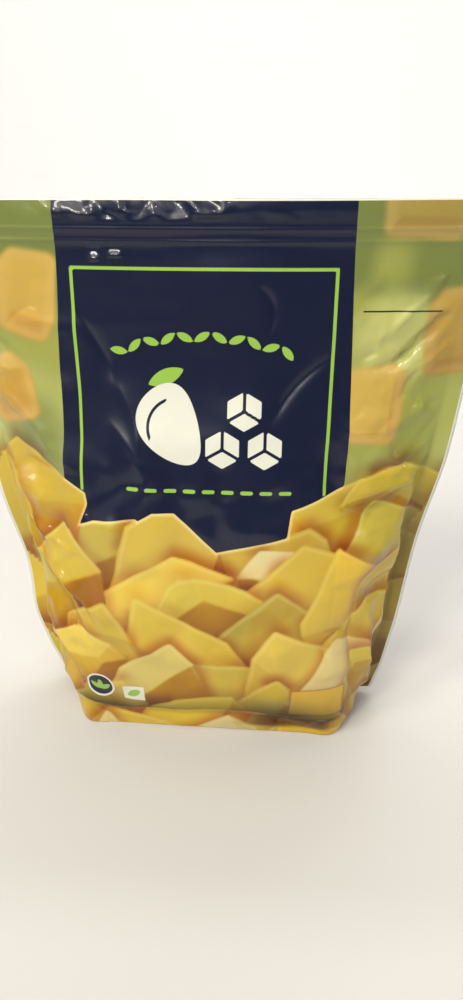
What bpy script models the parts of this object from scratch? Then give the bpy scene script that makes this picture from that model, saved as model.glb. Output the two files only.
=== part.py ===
"""A shut stand-up pouch of frozen diced fruit, full and standing on its opened bottom gusset.

Two printed film panels of one size face each other. They are welded together down both sides and
pressed together at the zip below the top edge. A gusset opens the bottom, so the panels bow out round
the fruit there and their lower edges form a rim that the pouch stands on. The pouch is shut, so it is
one solid out to its film. The front faces -Y, and the origin is on the floor under its middle.
"""

import math

import bmesh
import bpy
import numpy as np

# Driving sizes, in metres
PANEL_WIDTH = 0.225  # one flat panel, from side edge to side edge
STAND_HEIGHT = 0.250
WELD_THICKNESS = 0.0010  # both films where they are welded flat together
ZIP_HEIGHT = 0.2375
LUMP_SPACING = 0.020  # from one piece of fruit to the next, under the film
RIM_CORNER = 0.063  # from the middle to each rounded corner of the rim
RIM_FLARE = 0.0038  # how far the rim's lower edge stands out at its corners

# The film at rising heights: height, half width to the side edge, front depth, back depth,
# squareness of the section, and width of the flat weld at each side
STATIONS = (
    (0.000, 0.0850, 0.0328, 0.0330, 11.0, 0.0100),
    (0.005, 0.0864, 0.0324, 0.0324, 11.5, 0.0092),
    (0.010, 0.0876, 0.0317, 0.0315, 12.0, 0.0086),
    (0.015, 0.0888, 0.0328, 0.0326, 11.5, 0.0084),
    (0.024, 0.0904, 0.0350, 0.0344, 9.5, 0.0084),
    (0.040, 0.0924, 0.0368, 0.0358, 7.6, 0.0084),
    (0.062, 0.0948, 0.0372, 0.0360, 6.0, 0.0084),
    (0.090, 0.0984, 0.0352, 0.0342, 4.8, 0.0082),
    (0.120, 0.1028, 0.0303, 0.0296, 3.8, 0.0080),
    (0.150, 0.1076, 0.0223, 0.0218, 3.1, 0.0080),
    (0.176, 0.1106, 0.0143, 0.0140, 2.6, 0.0080),
    (0.200, 0.1120, 0.0077, 0.0075, 2.3, 0.0080),
    (0.222, 0.1125, 0.0030, 0.0030, 2.0, 0.0080),
    (0.234, 0.1125, 0.0008, 0.0008, 2.0, 0.0080),
    (0.241, 0.1125, 0.0008, 0.0008, 2.0, 0.0080),
    (0.246, 0.1125, 0.0012, 0.0012, 2.0, 0.0080),
    (0.250, 0.1125, 0.0007, 0.0007, 2.0, 0.0080),
)
HEIGHT, HALF_WIDTH, FRONT_DEPTH, BACK_DEPTH, SQUARENESS, WELD_WIDTH = np.array(STATIONS).T

# Heights of the rows of points: close together at the rim, the zip and the top edge
ROW_HEIGHTS = np.concatenate(
    [
        np.array([0.0, 0.0035, 0.007, 0.010, 0.013, 0.017, 0.022, 0.028]),
        np.linspace(0.034, 0.180, 28),
        np.linspace(0.187, 0.226, 6),
        np.array([0.230, 0.2335, 0.2350, 0.2362, 0.2375, 0.2388, 0.2400, 0.2420, 0.246, 0.250]),
    ]
)
BOWED_COLUMNS = 34  # across the bowed part of a panel
WELD_COLUMNS = 2  # across each flat side weld

# Folds pressed into a panel: start and end as (across, up) from the middle of its lower edge, then the
# depth, inwards where negative, and the width
FRONT_FOLDS = (
    ((-0.098, 0.092), (-0.070, 0.042), -0.0028, 0.0050),
    ((-0.086, 0.084), (-0.058, 0.036), 0.0016, 0.0060),
    ((-0.088, 0.048), (-0.078, 0.012), -0.0022, 0.0045),
    ((0.078, 0.070), (0.070, 0.018), 0.0018, 0.0050),
    ((0.092, 0.080), (0.080, 0.030), -0.0022, 0.0045),
    ((0.078, 0.182), (0.108, 0.150), 0.0016, 0.0042),
    ((0.060, 0.160), (0.098, 0.128), -0.0016, 0.0060),
    ((-0.104, 0.178), (-0.070, 0.140), -0.0018, 0.0060),
    ((-0.052, 0.190), (-0.040, 0.130), 0.0009, 0.0060),
    ((-0.050, 0.020), (0.052, 0.017), -0.0014, 0.0045),
)
BACK_FOLDS = (
    ((-0.094, 0.088), (-0.068, 0.040), -0.0026, 0.0050),
    ((0.096, 0.094), (0.066, 0.044), -0.0026, 0.0052),
    ((0.084, 0.080), (0.056, 0.036), 0.0014, 0.0060),
    ((-0.102, 0.170), (-0.062, 0.140), 0.0015, 0.0055),
    ((0.100, 0.182), (0.072, 0.136), -0.0017, 0.0060),
    ((-0.012, 0.190), (0.010, 0.140), 0.0009, 0.0060),
    ((-0.054, 0.018), (0.050, 0.021), -0.0014, 0.0045),
)

PRINT_COLOURS = {
    "film_navy": (0.018, 0.022, 0.055),
    "film_lime": (0.42, 0.44, 0.10),
    "film_fruit": (0.74, 0.47, 0.09),
}


def curve_through(xs, ys, x):
    """The value at x on a smooth curve through the points, with no overshoot between them."""
    step = np.diff(xs)
    rise = np.diff(ys) / step
    slope = np.concatenate([[rise[0]], np.zeros(len(xs) - 2), [rise[-1]]])
    same_way = rise[:-1] * rise[1:] > 0
    slope[1:-1][same_way] = 2 / (1 / rise[:-1][same_way] + 1 / rise[1:][same_way])
    x = np.clip(x, xs[0], xs[-1])
    i = np.clip(np.searchsorted(xs, x) - 1, 0, len(step) - 1)
    t = (x - xs[i]) / step[i]
    return (
        ys[i] * (1 + 2 * t) * (1 - t) ** 2
        + slope[i] * step[i] * t * (1 - t) ** 2
        + ys[i + 1] * t * t * (3 - 2 * t)
        + slope[i + 1] * step[i] * t * t * (t - 1)
    )


def ramp(x, low, high):
    """0 below low, 1 above high, and smooth between them."""
    t = np.clip((x - low) / (high - low), 0, 1)
    return t * t * (3 - 2 * t)


def film_height(z):
    """How far up the front film a height is, measured along the film from its lower edge."""
    heights = np.linspace(0, STAND_HEIGHT, 501)
    depths = curve_through(HEIGHT, FRONT_DEPTH, heights)
    along = np.concatenate([[0], np.cumsum(np.hypot(np.diff(heights), np.diff(depths)))])
    return np.interp(z, heights, along)


def bowed_section(half_width, depth, squareness, shares):
    """Points of half a bowed section, from the middle out to the weld, at shares of its length."""
    x = half_width * (1 - (1 - np.linspace(0, 1, 400)) ** 2)
    y = depth * (1 - (x / half_width) ** squareness)
    along = np.concatenate([[0], np.cumsum(np.hypot(np.diff(x), np.diff(y)))])
    at = shares * along[-1]
    return np.interp(at, along, x), np.interp(at, along, y)


def panel(depths, side):
    """One panel before its folds: rows of points up the film, and each point's place on the flat film."""
    shares = np.linspace(0, 1, BOWED_COLUMNS // 2 + 1)
    weld_shares = np.linspace(0, 1, WELD_COLUMNS + 1)[1:]
    rows, places = [], []
    for z in ROW_HEIGHTS:
        edge, weld, squareness, depth = (
            curve_through(HEIGHT, values, z) for values in (HALF_WIDTH, WELD_WIDTH, SQUARENESS, depths)
        )
        x, y = bowed_section(edge - weld, depth, squareness, shares)
        corner = np.exp(-(((x - RIM_CORNER) / 0.009) ** 2)) * (1 - ramp(z, 0.0, 0.014))
        x, y = x + 0.3 * RIM_FLARE * corner, y + RIM_FLARE * corner
        x = np.concatenate([x, edge - weld + weld * weld_shares])
        y = np.concatenate([y, np.zeros(WELD_COLUMNS)]) + WELD_THICKNESS / 2
        across = np.concatenate(
            [shares * (PANEL_WIDTH / 2 - weld), PANEL_WIDTH / 2 - weld * (1 - weld_shares)]
        )
        x, across = (np.concatenate([-half[:0:-1], half]) for half in (x, across))
        y = np.concatenate([y[:0:-1], y])
        rows.append(np.column_stack([x, side * y, np.full(len(x), z)]))
        places.append(np.column_stack([across, np.full(len(x), film_height(z))]))
    return np.array(rows), np.array(places)


def lumps(places, seed):
    """How far the fruit pushes the film out: flat-topped bumps on a jittered grid, up to the fill."""
    random = np.random.default_rng(seed)
    across, up = places[..., 0], places[..., 1]
    out = np.zeros(across.shape)
    for row in range(8):
        for column in range(-5, 6):
            centre = (
                (column + 0.5 * (row % 2)) * LUMP_SPACING + random.uniform(-0.005, 0.005),
                0.024 + row * LUMP_SPACING + random.uniform(-0.005, 0.005),
            )
            size = random.uniform(0.0085, 0.0115)
            push = random.uniform(-0.0004, 0.0014)
            out += push * np.exp(-(np.hypot(across - centre[0], up - centre[1]) / size) ** 4)
    return out * (1 - ramp(up, 0.140, 0.178)) * ramp(up, 0.010, 0.022)


def fold(places, start, end, depth, width):
    """A straight fold or dent in the film, which fades out at both ends."""
    start, end = np.array(start), np.array(end)
    run = end - start
    along = (places - start) @ run / (run @ run)
    nearest = start + np.clip(along, 0, 1)[..., None] * run
    distance = np.linalg.norm(places - nearest, axis=-1)
    fade = 1 - 0.7 * np.abs(2 * np.clip(along, 0, 1) - 1) ** 3
    return depth * fade * np.exp(-((distance / width) ** 2))


def zip_ridges(places):
    """The two ridges that the zip raises across the film."""
    up = places[..., 1] - film_height(ZIP_HEIGHT)
    return 0.0009 * (np.exp(-(((up - 0.0022) / 0.0011) ** 2)) + np.exp(-(((up + 0.0022) / 0.0011) ** 2)))


def normals_of(points, side):
    """The way out of a panel at each of its points."""
    out = side * np.cross(np.gradient(points, axis=1), np.gradient(points, axis=0))
    return out / np.linalg.norm(out, axis=-1, keepdims=True)


def press_in_relief(points, places, folds, seed, side):
    """Moves a panel's points along their normals by the fruit, the folds and the zip."""
    push = lumps(places, seed) + sum(fold(places, *values) for values in folds)
    edge = PANEL_WIDTH / 2 - np.abs(places[..., 0])
    top = film_height(STAND_HEIGHT) - places[..., 1]
    held = ramp(edge, 0.009, 0.024) * ramp(places[..., 1], 0.0, 0.008) * ramp(top, 0.0, 0.03)
    push = push * held + zip_ridges(places) * ramp(edge, 0.002, 0.010)
    return points + normals_of(points, side) * push[..., None]


def settle(points, places):
    """Bends both panels alike: wavy side welds, a curled lower left one, a bowed top edge and a slight slouch."""
    x, y, z = (points[..., k].copy() for k in range(3))
    across, up = places[..., 0], places[..., 1]
    outer = ramp(np.abs(across), 0.080, 0.1125)
    wave = np.sin(2 * math.pi * up / 0.085 + np.where(across > 0, 0.6, 2.4))
    y += 0.0022 * outer * wave * ramp(up, 0.02, 0.06) * (1 - ramp(up, 0.18, 0.24))
    lower_left = outer * (across < 0)
    y += 0.0050 * lower_left * np.exp(-(((up - 0.040) / 0.028) ** 2))
    x += lower_left * (0.0016 * (1 - ramp(up, 0.0, 0.020)) - 0.0045 * np.exp(-(((up - 0.042) / 0.026) ** 2)))
    y -= 0.0040 * np.cos(across / 0.072) * ramp(up, 0.18, 0.25)
    z += 0.0035 * ramp(np.abs(across), 0.085, 0.1125) * (1 - ramp(up, 0.0, 0.05))
    share = up / film_height(STAND_HEIGHT)
    z += (0.0012 + 0.010 * x) * share**2
    x -= 0.0008 * share
    return np.stack([x, y, z], axis=-1)


def underside_strip(front, back, inner):
    """Points from one column's front rim to its back rim: a shallow groove inside each rim, flat between."""
    shares = np.array([0.05, 0.14, 0.26, 0.42, 0.58, 0.74, 0.86, 0.95])
    groove = np.array([2.0, 2.6, 0.9, 0.0, 0.0, 0.9, 2.6, 2.0]) * 0.001
    tent = 0.009 * ramp(abs(inner), 0.050, 0.068) * (1 - np.abs(2 * shares - 1) ** 2)
    strip = front + (back - front) * shares[:, None]
    strip[:, 2] += groove + tent
    return strip


def add_grid(mesh, points, flip):
    """Adds a grid of points and its faces to the mesh, and returns the vertices."""
    grid = [[mesh.verts.new(p) for p in row] for row in points]
    for low, high in zip(grid, grid[1:]):
        for a, b, c, d in zip(low, low[1:], high[1:], high):
            mesh.faces.new((d, c, b, a) if flip else (a, b, c, d))
    return grid


def close_edges(mesh, front, back):
    """Joins the panels by narrow faces up both side edges and along the top edge."""
    for column in (0, -1):
        for i in range(len(front) - 1):
            corners = (front[i][column], front[i + 1][column], back[i + 1][column], back[i][column])
            mesh.faces.new(corners)
    for j in range(len(front[0]) - 1):
        mesh.faces.new((front[-1][j], front[-1][j + 1], back[-1][j + 1], back[-1][j]))


def close_underside(mesh, front, back):
    """Adds the gusset's film between the two rims. At the side welds the rims lie together."""
    strips = []
    for j, (near, far) in enumerate(zip(front, back)):
        bowed = WELD_COLUMNS < j < len(front) - 1 - WELD_COLUMNS
        inner = []
        if bowed:
            points = underside_strip(np.array(near.co), np.array(far.co), near.co.x)
            inner = [mesh.verts.new(p) for p in points]
        strips.append([near, *inner, far])
    for left, right in zip(strips, strips[1:]):
        if len(left) == len(right):
            for k in range(len(left) - 1):
                mesh.faces.new((left[k], left[k + 1], right[k + 1], right[k]))
        else:
            mesh.faces.new((*left, *right[::-1]))


def print_field(across, up):
    """Which field of the print a place on the front film is in."""
    heap_top = 0.088 + 0.030 * abs(across / 0.0625) ** 2.5
    if up < heap_top:
        return "film_fruit"
    return "film_navy" if abs(across) < 0.0625 else "film_lime"


def materials():
    """One glossy film material for each field of the print."""
    made = {}
    for name, colour in PRINT_COLOURS.items():
        made[name] = bpy.data.materials.new(name)
        made[name].use_nodes = True
        shader = made[name].node_tree.nodes["Principled BSDF"]
        shader.inputs["Base Color"].default_value = (*colour, 1.0)
        shader.inputs["Roughness"].default_value = 0.28
        shader.inputs["Metallic"].default_value = 0.0
    return made


def pouch():
    """The whole pouch, as one closed solid."""
    mesh = bmesh.new()
    grids = []
    for depths, folds, seed, side in (
        (FRONT_DEPTH, FRONT_FOLDS, 11, -1),
        (BACK_DEPTH, BACK_FOLDS, 29, 1),
    ):
        points, places = panel(depths, side)
        points = press_in_relief(points, places, folds, seed, side)
        grids.append((settle(points, places), places))
    every = np.concatenate([points.reshape(-1, 3) for points, _ in grids])
    low, high = every.min(axis=0), every.max(axis=0)
    middle = np.array([(low[0] + high[0]) / 2, (low[1] + high[1]) / 2, low[2]])
    grids = [(points - middle, places) for points, places in grids]
    front = add_grid(mesh, grids[0][0], flip=False)
    places = grids[0][1]
    fields = [
        print_field(*places[i : i + 2, j : j + 2].mean(axis=(0, 1)))
        for i in range(len(places) - 1)
        for j in range(len(places[0]) - 1)
    ]
    back = add_grid(mesh, grids[1][0], flip=True)
    close_edges(mesh, front, back)
    close_underside(mesh, front[0], back[0])
    names = list(PRINT_COLOURS)
    mesh.faces.ensure_lookup_table()
    for face in mesh.faces:
        field = fields[face.index] if face.index < len(fields) else "film_lime"
        face.material_index = names.index(field)
    bmesh.ops.recalc_face_normals(mesh, faces=mesh.faces)
    data = bpy.data.meshes.new("pouch")
    mesh.to_mesh(data)
    mesh.free()
    for material in materials().values():
        data.materials.append(material)
    data.shade_smooth()
    data.set_sharp_from_angle(angle=math.radians(50))
    made = bpy.data.objects.new("pouch", data)
    bpy.context.scene.collection.objects.link(made)
    return made


def main():
    for old in list(bpy.data.objects):
        bpy.data.objects.remove(old)
    pouch()


if __name__ == "__main__":
    main()
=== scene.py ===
"""A shut stand-up pouch of frozen diced mango: its printed film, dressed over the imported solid.

Lengths are in metres where nothing else is said. Places on a panel are (across, up): across from the
middle of the flat film, to the viewer's right on the front, and up along the film from its lower edge.
"""

import itertools
import math

import bpy
import numpy as np
from mathutils import Matrix, Vector
from mathutils.geometry import convex_hull_2d, delaunay_2d_cdt


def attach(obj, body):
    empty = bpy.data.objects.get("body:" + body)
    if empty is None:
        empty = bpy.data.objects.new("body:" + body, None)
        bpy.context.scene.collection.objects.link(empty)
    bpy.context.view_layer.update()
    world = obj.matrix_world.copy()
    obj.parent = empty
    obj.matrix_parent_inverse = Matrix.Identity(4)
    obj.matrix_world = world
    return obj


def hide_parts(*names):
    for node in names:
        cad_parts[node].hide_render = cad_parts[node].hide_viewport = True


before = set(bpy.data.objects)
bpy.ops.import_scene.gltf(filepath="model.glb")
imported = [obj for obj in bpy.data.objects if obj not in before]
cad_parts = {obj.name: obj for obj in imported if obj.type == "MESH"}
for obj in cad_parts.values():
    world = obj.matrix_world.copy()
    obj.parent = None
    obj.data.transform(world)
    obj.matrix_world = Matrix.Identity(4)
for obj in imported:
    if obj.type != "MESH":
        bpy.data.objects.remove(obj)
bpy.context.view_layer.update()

MM = 0.001

# ---- the camera

PHOTO_HEIGHT = 1000  # pixels, of a frame 463 wide
FOCAL_PIXELS = 740.0
SENSOR = 36.0  # mm, along the frame's height
YAW = math.radians(4.5)
PITCH = math.radians(29.24)
CAMERA_BACK, CAMERA_RIGHT, CAMERA_UP = 0.3095, 0.009, 0.2893
ORIGIN_SHIFT = (0.00076, 0.0006, 0.0)  # from the middle of the foot's box to the film's own origin


def add_object(name, data):
    """An object in the scene."""
    made = bpy.data.objects.new(name, data)
    bpy.context.scene.collection.objects.link(made)
    return made


def add_camera():
    """A camera at the viewing angle of the photograph."""
    back = np.array([math.sin(YAW), -math.cos(YAW), 0.0])
    right = np.array([math.cos(YAW), math.sin(YAW), 0.0])
    forward = -back * math.cos(PITCH) - np.array([0.0, 0.0, math.sin(PITCH)])
    up = np.cross(right, forward)
    place = back * CAMERA_BACK + right * CAMERA_RIGHT + [0, 0, CAMERA_UP] + ORIGIN_SHIFT
    data = bpy.data.cameras.new("camera")
    data.sensor_width = SENSOR
    data.lens = FOCAL_PIXELS * SENSOR / PHOTO_HEIGHT
    data.clip_start = 0.01
    camera = add_object("camera", data)
    turn = np.column_stack([right, up, -forward])
    camera.matrix_world = Matrix.Translation(place.tolist()) @ Matrix(turn.tolist()).to_4x4()
    bpy.context.scene.camera = camera


add_camera()

# ---- the film's shape

HALF_PANEL = 0.1125  # half the width of the flat film
STAND_HEIGHT = 0.25
FILM_GAP = 0.0005  # between the outer faces of the two films in a weld
ZIP_UP = 0.2417
RIM_CORNER, RIM_CORNER_WIDTH, RIM_CORNER_HEIGHT = 0.063, 0.009, 0.014
RIM_FLARE, RIM_FLARE_ASIDE = 0.0038, 0.3  # how far the rim's corners jut out, and the share of it sideways

# height, half width to the side edge, front depth, back depth and weld width in mm, and squareness
STATIONS = (
    (0, 85.0, 32.8, 33.0, 10.0, 11.0),
    (5, 86.4, 32.4, 32.4, 9.2, 11.5),
    (10, 87.6, 31.7, 31.5, 8.6, 12.0),
    (15, 88.8, 32.8, 32.6, 8.4, 11.5),
    (24, 90.4, 35.0, 34.4, 8.4, 9.5),
    (40, 92.4, 36.8, 35.8, 8.4, 7.6),
    (62, 94.8, 37.2, 36.0, 8.4, 6.0),
    (90, 98.4, 35.2, 34.2, 8.2, 4.8),
    (120, 102.8, 30.3, 29.6, 8.0, 3.8),
    (150, 107.6, 22.3, 21.8, 8.0, 3.1),
    (176, 110.6, 14.3, 14.0, 8.0, 2.6),
    (200, 112.0, 7.7, 7.5, 8.0, 2.3),
    (222, 112.5, 3.0, 3.0, 8.0, 2.0),
    (234, 112.5, 0.8, 0.8, 8.0, 2.0),
    (241, 112.5, 0.8, 0.8, 8.0, 2.0),
    (246, 112.5, 1.2, 1.2, 8.0, 2.0),
    (250, 112.5, 0.7, 0.7, 8.0, 2.0),
)
HEIGHT, HALF_WIDTH, FRONT_DEPTH, BACK_DEPTH, WELD_WIDTH = np.array(STATIONS).T[:5] * MM
SQUARENESS = np.array(STATIONS).T[5]

BOWED_COLUMNS = 280
WELD_COLUMNS = 5
SECTION_STEPS = 1200
# lowest and highest height of a band, and its rows of points
FRONT_ROWS = ((0.0, 0.018, 30), (0.018, 0.165, 204), (0.165, 0.226, 61), (0.226, 0.25, 40))
BACK_ROWS = ((0.0, 0.018, 22), (0.018, 0.138, 100), (0.138, 0.226, 50), (0.226, 0.25, 30))


def curve_through(xs, ys, x):
    """The value at x on a smooth curve through the points, without overshoot."""
    step = np.diff(xs)
    rise = np.diff(ys) / step
    slope = np.concatenate([[rise[0]], np.zeros(len(xs) - 2), [rise[-1]]])
    same_way = rise[:-1] * rise[1:] > 0
    slope[1:-1][same_way] = 2 / (1 / rise[:-1][same_way] + 1 / rise[1:][same_way])
    x = np.clip(x, xs[0], xs[-1])
    i = np.clip(np.searchsorted(xs, x) - 1, 0, len(step) - 1)
    t = (x - xs[i]) / step[i]
    return (
        ys[i] * (1 + 2 * t) * (1 - t) ** 2
        + slope[i] * step[i] * t * (1 - t) ** 2
        + ys[i + 1] * t * t * (3 - 2 * t)
        + slope[i + 1] * step[i] * t * t * (t - 1)
    )


def ramp(x, low, high):
    """0 below low, 1 above high, and smooth between them."""
    t = np.clip((x - low) / (high - low), 0, 1)
    return t * t * (3 - 2 * t)


def bell(x, middle, width):
    """1 at the middle, falling smoothly towards 0 on both sides."""
    return np.exp(-(((x - middle) / width) ** 2))


def film_height(z):
    """How far up the front film a height is, along the film from its lower edge."""
    heights = np.linspace(0, STAND_HEIGHT, 501)
    depths = curve_through(HEIGHT, FRONT_DEPTH, heights)
    along = np.concatenate([[0], np.cumsum(np.hypot(np.diff(heights), np.diff(depths)))])
    return np.interp(z, heights, along)


FILM_TOP = float(film_height(STAND_HEIGHT))


def bowed_section(half_width, depth, squareness, shares):
    """Points of half a section, from the middle out to the weld, at shares of its length."""
    x = half_width * (1 - (1 - np.linspace(0, 1, SECTION_STEPS)) ** 2)
    y = depth * (1 - (x / half_width) ** squareness)
    along = np.concatenate([[0], np.cumsum(np.hypot(np.diff(x), np.diff(y)))])
    at = shares * along[-1]
    return np.interp(at, along, x), np.interp(at, along, y)


def panel(depths, side, row_bands):
    """One panel before its relief: rows of points, and each point's place on the flat film."""
    heights = [np.linspace(low, high, count, endpoint=False) for low, high, count in row_bands]
    shares = np.linspace(0, 1, BOWED_COLUMNS // 2 + 1)
    weld_shares = np.linspace(0, 1, WELD_COLUMNS + 1)[1:]
    rows, places = [], []
    for z in np.concatenate([*heights, [STAND_HEIGHT]]):
        edge, weld, squareness, depth = (
            curve_through(HEIGHT, values, z) for values in (HALF_WIDTH, WELD_WIDTH, SQUARENESS, depths)
        )
        x, y = bowed_section(edge - weld, depth, squareness, shares)
        corner = bell(x, RIM_CORNER, RIM_CORNER_WIDTH) * (1 - ramp(z, 0.0, RIM_CORNER_HEIGHT))
        x, y = x + RIM_FLARE_ASIDE * RIM_FLARE * corner, y + RIM_FLARE * corner
        x = np.concatenate([x, edge - weld + weld * weld_shares])
        y = np.concatenate([y, np.zeros(WELD_COLUMNS)]) + FILM_GAP / 2
        across = np.concatenate([shares * (HALF_PANEL - weld), HALF_PANEL - weld * (1 - weld_shares)])
        x, across = (np.concatenate([-half[:0:-1], half]) for half in (x, across))
        y = np.concatenate([y[:0:-1], y])
        rows.append(np.column_stack([x, side * y, np.full(len(x), z)]))
        places.append(np.column_stack([across, np.full(len(x), film_height(z))]))
    return np.array(rows), np.array(places)


SIDE_WAVE, SIDE_WAVE_LENGTH = 0.0022, 0.085
CURL_BACK, CURL_IN, CURL_FOOT_IN = 0.005, 0.0045, 0.0016  # of the lower left weld
TOP_BOW, TOP_BOW_LENGTH = 0.004, 0.072
TOP_LIP, TOP_LIP_AT, TOP_LIP_WIDTH = 0.003, -0.032, 0.036  # where the top edge is pushed back
SIDE_LIFT = 0.0035  # of the side welds' lower ends
TOP_RISE, TOP_TILT, TOP_LEAN = 0.0012, 0.01, 0.0008


def settle(points, places):
    """Bends both panels alike: wavy side welds, a curled lower left one, a bowed top edge and a slouch."""
    x, y, z = (points[..., k].copy() for k in range(3))
    across, up = places[..., 0], places[..., 1]
    outer = ramp(np.abs(across), 0.08, HALF_PANEL)
    wave = np.sin(2 * math.pi * up / SIDE_WAVE_LENGTH + np.where(across > 0, 0.6, 2.4))
    y += SIDE_WAVE * outer * wave * ramp(up, 0.02, 0.06) * (1 - ramp(up, 0.18, 0.24))
    lower_left = outer * (across < 0)
    y += CURL_BACK * lower_left * bell(up, 0.04, 0.028)
    x += lower_left * (CURL_FOOT_IN * (1 - ramp(up, 0.0, 0.02)) - CURL_IN * bell(up, 0.042, 0.026))
    y -= TOP_BOW * np.cos(across / TOP_BOW_LENGTH) * ramp(up, 0.18, 0.25)
    lip = bell(across, TOP_LIP_AT, TOP_LIP_WIDTH)
    y += TOP_LIP * lip * np.clip((up - 0.2465) / 0.0085, 0, 1) ** 1.5
    z += SIDE_LIFT * ramp(np.abs(across), 0.085, HALF_PANEL) * (1 - ramp(up, 0.0, 0.05))
    share = up / FILM_TOP
    z += (TOP_RISE + TOP_TILT * x) * share**2
    x -= TOP_LEAN * share
    return np.stack([x, y, z], axis=-1) + ORIGIN_SHIFT


# ---- the film's relief

LATTICE = 64  # cells of noise before it repeats
LATTICE_START = (31.7, 17.3)  # the cell under the middle of the lower edge
HALF_CELLS, UP_CELLS = 114, 257  # a field's 1 mm cells on each side of the middle, and up the film


def between(grid, i, j, next_i, next_j, s, t):
    """A grid's value at shares s and t of the way from its cells i, j to the next ones."""
    low = grid[i, j] * (1 - s) + grid[next_i, j] * s
    high = grid[i, next_j] * (1 - s) + grid[next_i, next_j] * s
    return low * (1 - t) + high * t


def noise(across, up, size, seed):
    """Smooth noise from -1 to 1, with features about as large as size."""
    lattice = np.random.default_rng(seed).uniform(-1, 1, (LATTICE, LATTICE))
    x, y = across / size + LATTICE_START[0], up / size + LATTICE_START[1]
    i, j = np.floor(x).astype(int), np.floor(y).astype(int)
    s, t = x - i, y - j
    s, t = s * s * (3 - 2 * s), t * t * (3 - 2 * t)
    return between(lattice, *(k % LATTICE for k in (i, j, i + 1, j + 1)), s, t)


def blurred(field, reach):
    """A field softened over a reach, in cells, by three passes of a box."""
    box = np.ones(2 * reach + 1) / (2 * reach + 1)

    def softened(line):
        return np.convolve(np.pad(line, reach, mode="edge"), box, "valid")

    for axis in (0, 1):
        for _ in range(3):
            field = np.apply_along_axis(softened, axis, field)
    return field


DICE_PITCH = (0.0185, 0.0148)  # across and up, of the fruit under the film
DICE_FLOOR, DICE_FLANK = -0.004, 1.1  # how deep the gaps between them go, and how steeply
DICE_FLAT = 0.75  # the share of a die's half size that its corners don't round off
SKIN_PASSES = 90


def fruit_relief(seed):
    """A taut skin of film over tilted flat-topped dice of fruit. 1 mm cells."""
    random = np.random.default_rng(seed)
    cells = np.arange(-HALF_CELLS, HALF_CELLS + 1), np.arange(UP_CELLS)
    across, up = np.meshgrid(cells[0] * MM, cells[1] * MM, indexing="ij")
    dice = np.full(across.shape, DICE_FLOOR)
    for row in range(13):
        for column in range(-6, 7):
            x = across - ((column + 0.5 * (row % 2)) * DICE_PITCH[0] + random.uniform(-0.005, 0.005))
            y = up - (0.006 + row * DICE_PITCH[1] + random.uniform(-0.004, 0.004))
            turn = random.uniform(0, math.pi)
            half = random.uniform(0.006, 0.0092)
            top = random.normal(0, 0.0009)
            tilt = random.normal(0, 0.085, 2)
            p = np.abs(x * math.cos(turn) + y * math.sin(turn)) - half * DICE_FLAT
            q = np.abs(y * math.cos(turn) - x * math.sin(turn)) - half * DICE_FLAT
            over = np.hypot(np.maximum(p, 0), np.maximum(q, 0)) - half * (1 - DICE_FLAT)
            dice = np.maximum(dice, top + tilt[0] * x + tilt[1] * y - DICE_FLANK * np.maximum(over, 0))
    skin = dice.copy()
    for _ in range(SKIN_PASSES):
        wide = np.pad(skin, 1, mode="edge")
        mean = (wide[:-2, 1:-1] + wide[2:, 1:-1] + wide[1:-1, :-2] + wide[1:-1, 2:]) / 4
        skin = np.maximum(dice, mean)
    skin = blurred(skin, 1)
    return skin - blurred(skin, 14)


def facets(seed, gap):
    """Flat facets with straight ridges, as in slack film, each about a gap wide. 1 mm cells."""
    random = np.random.default_rng(seed)
    spots = [Vector((x, y)) for x in (-0.16, 0.16) for y in (-0.05, 0.31)]  # well outside the film
    up = -0.02
    while up < 0.29:
        across = -0.135 + random.uniform(0, gap)
        while across < 0.135:
            jitter = random.uniform(-0.3, 0.3, 2) * gap
            spots.append(Vector((across + jitter[0], up + jitter[1])))
            across += gap * random.uniform(0.8, 1.5)
        up += 0.85 * gap
    heights = random.normal(0, 1, len(spots))
    corners, _, triangles, sources, _, _ = delaunay_2d_cdt(spots, [], [], 0, 1e-6)
    field = np.zeros((2 * HALF_CELLS + 1, UP_CELLS))
    for triangle in triangles:
        abc = np.array([corners[k] for k in triangle])
        a, b, c = abc
        ha, hb, hc = (heights[sources[k][0]] for k in triangle)
        low = np.floor(abc.min(axis=0) / MM).astype(int) + [HALF_CELLS, 0]
        high = np.ceil(abc.max(axis=0) / MM).astype(int) + [HALF_CELLS + 1, 1]
        low, high = np.maximum(low, 0), np.minimum(high, field.shape)
        if (low >= high).any():
            continue
        cells = np.arange(low[0], high[0]) - HALF_CELLS, np.arange(low[1], high[1])
        x, y = np.meshgrid(cells[0] * MM, cells[1] * MM, indexing="ij")
        area = (b[0] - a[0]) * (c[1] - a[1]) - (b[1] - a[1]) * (c[0] - a[0])
        s = ((x - a[0]) * (c[1] - a[1]) - (y - a[1]) * (c[0] - a[0])) / area
        t = ((b[0] - a[0]) * (y - a[1]) - (b[1] - a[1]) * (x - a[0])) / area
        inside = (s >= -1e-9) & (t >= -1e-9) & (s + t <= 1 + 1e-9)
        block = field[low[0] : high[0], low[1] : high[1]]
        block[inside] = (ha + (hb - ha) * s + (hc - ha) * t)[inside]
    return field


def sampled(field, across, up):
    """A field of 1 mm cells read between its cells."""
    x = np.clip(across / MM + HALF_CELLS, 0, field.shape[0] - 1.001)
    y = np.clip(up / MM, 0, field.shape[1] - 1.001)
    i, j = x.astype(int), y.astype(int)
    return between(field, i, j, i + 1, j + 1, x - i, y - j)


FOLD_CREST = 0.6


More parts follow.
